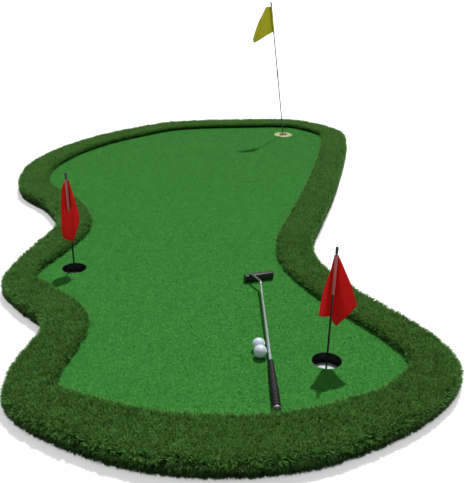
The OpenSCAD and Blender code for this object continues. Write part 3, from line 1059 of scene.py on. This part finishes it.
class GREEN_OT_putter(bpy.types.Operator):
    """Builds the putter"""
    bl_idname = "green.putter"
    bl_label = "Putter"

    def execute(self, context):
        values = context.scene.green_putter
        start, way = putter_axis()
        self.head(values)
        self.neck(start, way)
        self.shaft(start, way)
        self.grip(start, way, values)
        return {"FINISHED"}

    def head(self, values):
        piece = copy_of("putter_head", "putter_head_blade")
        bevelled(piece, 1.3 * MM)
        smooth(piece, 40)
        black = moulded("black_head", values.head, 0.38, grain=900.0, Specular_IOR_Level=0.6)
        fit(piece, "putter", "black_head", black, "putter_head")

    def neck(self, start, way):
        begin, end, _ = span("putter_hosel", start, way)
        ferrule = 24 * MM
        joint = end - ferrule
        side = way.cross(Vector((0, 0, 1))).normalized()
        if (centre("putter_head") - start).dot(side) < 0:
            side = -side
        foot = Vector((low("putter_hosel")[0], high("putter_hosel")[1], low("putter_hosel")[2]))
        foot += Vector((NECK_RADIUS, -NECK_RADIUS, NECK_RADIUS))
        elbow_place = begin + 27 * MM
        offset = (foot - start - way * (foot - start).dot(way)).dot(side)
        elbow = start + way * elbow_place + side * offset * 0.66
        run_out = start + way * (joint - 2 * MM)
        chrome = brushed("dark_chrome", linear(150, 156, 158), 0.25, (500, 30, 500))
        path = [foot, foot.lerp(elbow, 0.45) + Vector((0, 0, 2 * MM)), elbow, elbow.lerp(run_out, 0.5),
                run_out, start + way * (joint + 3 * MM), start + way * (joint + 8 * MM)]
        bar = swept("putter_neck", path, NECK_RADIUS, sides=32)
        smooth(bar, 50)
        fit(bar, "putter", "dark_chrome", chrome)
        collar = turned("putter_ferrule", start, way,
                        [(joint, 0), (joint, 4.4 * MM), (joint + 0.8 * MM, 5.2 * MM),
                         (end - 1 * MM, 6.0 * MM), (end, 5.4 * MM), (end, 0)], steps=48)
        smooth(collar)
        fit(collar, "putter", "dark_chrome", chrome, "putter_hosel")

    def shaft(self, start, way):
        begin, end, butt_radius = span("putter_shaft", start, way)
        steps = 12
        tip_radius = 4.7 * MM
        tip_end = begin + 70 * MM
        profile = [(begin, 0), (begin, tip_radius), (tip_end, tip_radius)]
        for i in range(1, steps + 1):
            place = tip_end + (end - tip_end) * i / (steps + 1)
            radius = tip_radius + (butt_radius - tip_radius) * i / steps
            previous = tip_radius + (butt_radius - tip_radius) * (i - 1) / steps
            profile += [(place - 1.2 * MM, previous), (place, radius)]
        profile += [(end, butt_radius), (end, 0)]
        piece = turned("putter_stepped_shaft", start, way, profile, steps=40)
        smooth(piece, 30)
        chrome = brushed("chrome", linear(198, 214, 210), 0.32, (400, 20, 400))
        fit(piece, "putter", "chrome", chrome, "putter_shaft")

    def grip(self, start, way, values):
        begin, end, radius = span("putter_grip", start, way)
        thin = 7.9 * MM
        wide_at = end - 78 * MM
        profile = [(begin, 5.6 * MM), (begin, thin - 1.4 * MM), (begin + 1.5 * MM, thin)]
        place = begin + 6 * MM
        while place < end - 9 * MM:
            share = min(1.0, (place - begin) / (wide_at - begin))
            body = thin + (radius - thin) * share
            ribbed = place > end - 66 * MM
            deep, wide_cut, step = (1.1 * MM, 5 * MM, 13 * MM) if ribbed else (0.35 * MM, 0.6 * MM, 5 * MM)
            profile += [(place, body), (place + 0.5 * MM, body - deep),
                        (place + 0.5 * MM + wide_cut, body - deep), (place + 1 * MM + wide_cut, body)]
            place += step
        profile += [(end - 1 * MM, radius), (end, radius - 0.8 * MM), (end, 5.6 * MM)]
        rubber = moulded("grip_rubber", values.grip, 0.66, grain=380.0, depth=0.35 * MM, vary=0.15,
                         Specular_IOR_Level=0.3)
        sleeve = turned("putter_grip_rubber", start, way, profile, steps=48, closed=True)
        smooth(sleeve, 50)
        fit(sleeve, "putter", "grip_rubber", rubber, "putter_grip")
        first, last, wide = span("putter_ring", start, way)
        band = turned("putter_ring_band", start, way,
                      [(first, 5.6 * MM), (first, wide - 0.6 * MM), (first + 0.7 * MM, wide),
                       (last - 0.7 * MM, wide), (last, wide - 0.6 * MM), (last, 5.6 * MM)],
                      steps=48, closed=True)
        smooth(band)
        fit(band, "putter", "grey_ring", brushed("grey_ring", linear(196, 194, 192), 0.34, (300, 300, 300)),
            "putter_ring")
        first, last, wide = span("putter_cap", start, way)
        cap = turned("putter_end_cap", start, way,
                     [(first, 0), (first, wide - 0.5 * MM), (first + 0.5 * MM, wide),
                      (first + 4 * MM, wide - 0.2 * MM),
                      (first + 8 * MM, wide - 1.8 * MM), (last - 1.4 * MM, wide - 4.4 * MM),
                      (last, wide - 6.5 * MM), (last, 2.4 * MM), (last - 1 * MM, 2 * MM), (last - 1 * MM, 0)],
                     steps=48)
        smooth(cap)
        fit(cap, "putter", "black_plastic", moulded("cap_rubber", linear(15, 15, 16), 0.6), "putter_cap")


# ---- Balls -------------------------------------------------------------------------

def dimple_places(rings):
    """Directions of the dimples: each face of a twenty-sided ball split into rings."""
    solid = bmesh.new()
    bmesh.ops.create_icosphere(solid, subdivisions=1, radius=1)
    found = {}
    for face in solid.faces:
        a, b, c = [v.co.copy() for v in face.verts]
        for i in range(rings + 1):
            for j in range(rings + 1 - i):
                way = (a * i + b * j + c * (rings - i - j)).normalized()
                found[tuple(round(part, 4) for part in way)] = way
    solid.free()
    return [found[key] for key in sorted(found)]


class GREEN_OT_balls(bpy.types.Operator):
    """Adds the two dimpled balls"""
    bl_idname = "green.balls"
    bl_label = "Balls"

    def execute(self, context):
        values = context.scene.green_putter
        cover = moulded("ball_cover", values.ball, 0.3, grain=300.0, depth=0.01 * MM, vary=0.02,
                        Coat_Weight=0.5, Coat_Roughness=0.12)
        ways = dimple_places(6)
        tree = KDTree(len(ways))
        for i, way in enumerate(ways):
            tree.insert(way, i)
        tree.balance()
        for node, turn in (("ball_front", 0.4), ("ball_back", 1.3)):
            middle = centre(node)
            radius = (high(node)[2] - low(node)[2]) / 2
            clear_selection()
            bpy.ops.mesh.primitive_ico_sphere_add(subdivisions=7, radius=radius)
            ball = context.object
            ball.name = node + "_cover"
            reach = 1.72 * MM / radius
            spin = Matrix.Rotation(turn, 3, Vector((1, 0.4, 0.7)).normalized())
            for vertex in ball.data.vertices:
                way = vertex.co.normalized()
                off = (way - ways[tree.find(way)[1]]).length
                sunk = max(0.0, 1 - (off / reach) ** 2) ** 0.8 * values.dimple
                vertex.co = spin @ (way * (radius - sunk)) + middle
            smooth(ball, 60)
            fit(ball, "front_ball" if node == "ball_front" else "back_ball", "ball_cover", cover, node)
        return {"FINISHED"}


# ---- Panel and registration ----------------------------------------------------------

OPERATORS = [GREEN_OT_stage, GREEN_OT_boards, GREEN_OT_turf, GREEN_OT_rough, GREEN_OT_cups,
             GREEN_OT_flagsticks, GREEN_OT_flags, GREEN_OT_putter, GREEN_OT_balls]
GROUPS = {"green_studio": GreenStudio, "green_turf": GreenTurf, "green_rough": GreenRough,
          "green_flags": GreenFlags, "green_putter": GreenPutter}


class GREEN_PT_sidebar(bpy.types.Panel):
    """Lists the pieces of the putting green"""
    bl_label = "Putting Green"
    bl_idname = "GREEN_PT_sidebar"
    bl_space_type = "VIEW_3D"
    bl_region_type = "UI"
    bl_category = "Putting Green"

    def draw(self, context):
        for operator in OPERATORS:
            self.layout.operator(operator.bl_idname)
        for name, group in GROUPS.items():
            box = self.layout.box()
            values = getattr(context.scene, name)
            for value in group.__annotations__:
                box.prop(values, value)


def register():
    for group in GROUPS.values():
        bpy.utils.register_class(group)
    for name, group in GROUPS.items():
        setattr(bpy.types.Scene, name, PointerProperty(type=group))
    for operator in OPERATORS:
        bpy.utils.register_class(operator)
    bpy.utils.register_class(GREEN_PT_sidebar)


def unregister():
    bpy.utils.unregister_class(GREEN_PT_sidebar)
    for operator in reversed(OPERATORS):
        bpy.utils.unregister_class(operator)
    for name in GROUPS:
        delattr(bpy.types.Scene, name)
    for group in reversed(GROUPS.values()):
        bpy.utils.unregister_class(group)


def main():
    register()
    for operator in OPERATORS:
        group, name = operator.bl_idname.split(".")
        getattr(getattr(bpy.ops, group), name)()
    clear_selection()


if __name__ == "__main__":
    main()
